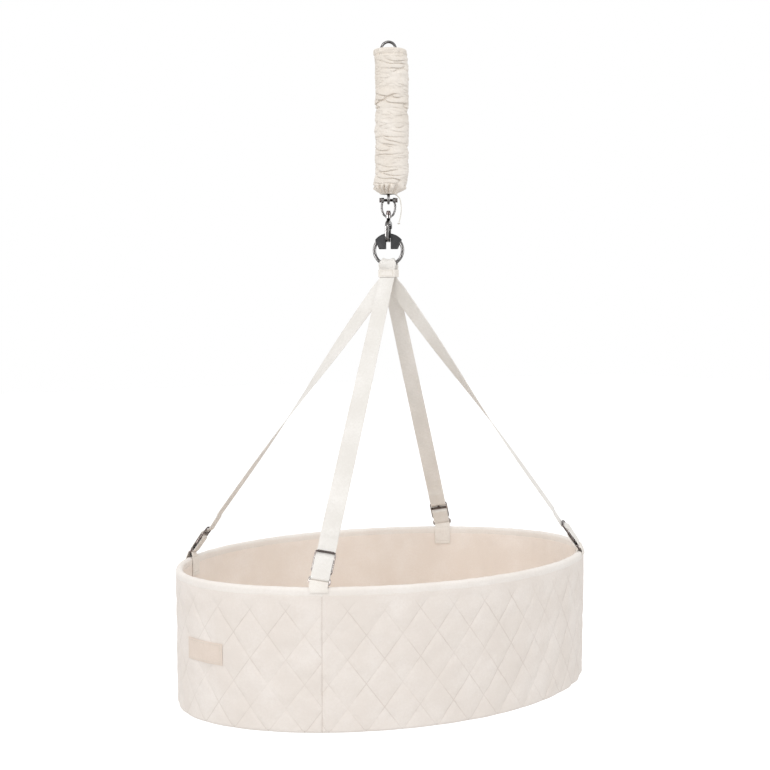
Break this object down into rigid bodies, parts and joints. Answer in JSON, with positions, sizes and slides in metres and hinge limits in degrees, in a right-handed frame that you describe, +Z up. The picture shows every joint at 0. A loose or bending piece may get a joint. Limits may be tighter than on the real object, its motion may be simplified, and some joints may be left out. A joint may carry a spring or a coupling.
{
  "type": "hanging baby cradle",
  "caption": "Oval quilted fabric baby cradle hung by webbing straps from a steel ring, swivel snap hook and covered extension spring.",
  "frame": {"origin": "Inside top of the upper hook's crook, where a ceiling hook carries the cradle.", "axes": "+Z up, +X along the basket's length, +Y across it towards the rear."},
  "size_m": [0.7986, 0.569, 1.1414],
  "materials": {
    "dark_steel": "darkened, satin",
    "bright_steel": "polished",
    "spring_steel": "oiled wire",
    "cotton": "quilted off-white cotton",
    "lining": "warm off-white cotton",
    "webbing": "woven cotton webbing",
    "cord": "braided cotton",
    "grey_moulding": "moulded, matt",
    "birch_board": "sanded plywood"
  },
  "bodies": {
    "hanger": {"upper_hook": "dark_steel", "spring_coil": "spring_steel", "spring_cover": "cotton"},
    "spring_foot": {"lower_eye": "bright_steel", "cover_drawcord": "cord", "drawcord_knot": "cord"},
    "shackle": {"shackle_bow": "bright_steel", "shackle_pin": "dark_steel", "shackle_nut": "dark_steel"},
    "swivel_hook": {"snap_hook_body": "bright_steel", "swivel_head": "dark_steel", "gate_pin": "dark_steel"},
    "gate": {"hook_gate": "bright_steel"},
    "ring": {"hanging_ring": "bright_steel", "ring_saddle": "grey_moulding"},
    "cradle": {"collar_band": "webbing", "strap_front_left": "webbing", "strap_slide_front_left": "dark_steel", "rim_ring_front_left": "dark_steel", "basket_tab_front_left": "webbing", "strap_rear_left": "webbing", "strap_slide_rear_left": "dark_steel", "rim_ring_rear_left": "dark_steel", "basket_tab_rear_left": "webbing", "strap_front_right": "webbing", "strap_slide_front_right": "dark_steel", "rim_ring_front_right": "dark_steel", "basket_tab_front_right": "webbing", "strap_rear_right": "webbing", "strap_slide_rear_right": "dark_steel", "rim_ring_rear_right": "dark_steel", "basket_tab_rear_right": "webbing", "quilted_wall": "cotton", "wall_lining": "lining", "rim_binding": "cotton", "rim_hoop": "spring_steel", "floor_panel": "cotton", "base_board": "birch_board"},
    "mattress": {"mattress": "lining"}
  },
  "joints": [
    {"name": "spring_bounce", "type": "slide", "parent": "hanger", "child": "spring_foot", "axis": [0, 0, -1], "range_m": [0, 0.12], "stiffness_N_per_m": 2150, "springref_m": -0.034, "deforming": ["spring_coil", "spring_cover"]},
    {"name": "shackle_swing", "type": "hinge", "parent": "spring_foot", "child": "shackle", "pos_m": [0, 0, -0.2753], "axis": [0.8192, -0.5736, 0], "range_deg": [-40, 40]},
    {"name": "swivel", "type": "hinge", "parent": "shackle", "child": "swivel_hook", "pos_m": [0, 0, -0.3071], "axis": [0, 0, 1], "continuous": true},
    {"name": "gate_open", "type": "hinge", "parent": "swivel_hook", "child": "gate", "pos_m": [0.00973, 0.00907, -0.3222], "axis": [-0.682, 0.7314, 0], "range_deg": [0, 27], "stiffness_Nm_per_rad": 0.05, "springref_deg": -20.05},
    {"name": "ring_swing", "type": "hinge", "parent": "swivel_hook", "child": "ring", "pos_m": [0, 0, -0.3381], "axis": [0.682, -0.7314, 0], "range_deg": [-22, 22]},
    {"name": "cradle_swing", "type": "hinge", "parent": "ring", "child": "cradle", "pos_m": [0, 0, -0.3867], "axis": [0.682, -0.7314, 0], "range_deg": [-16, 16]},
    {"name": "mattress_lift", "type": "slide", "parent": "cradle", "child": "mattress", "axis": [0, 0, 1], "range_m": [0, 0.2]}
  ]
}
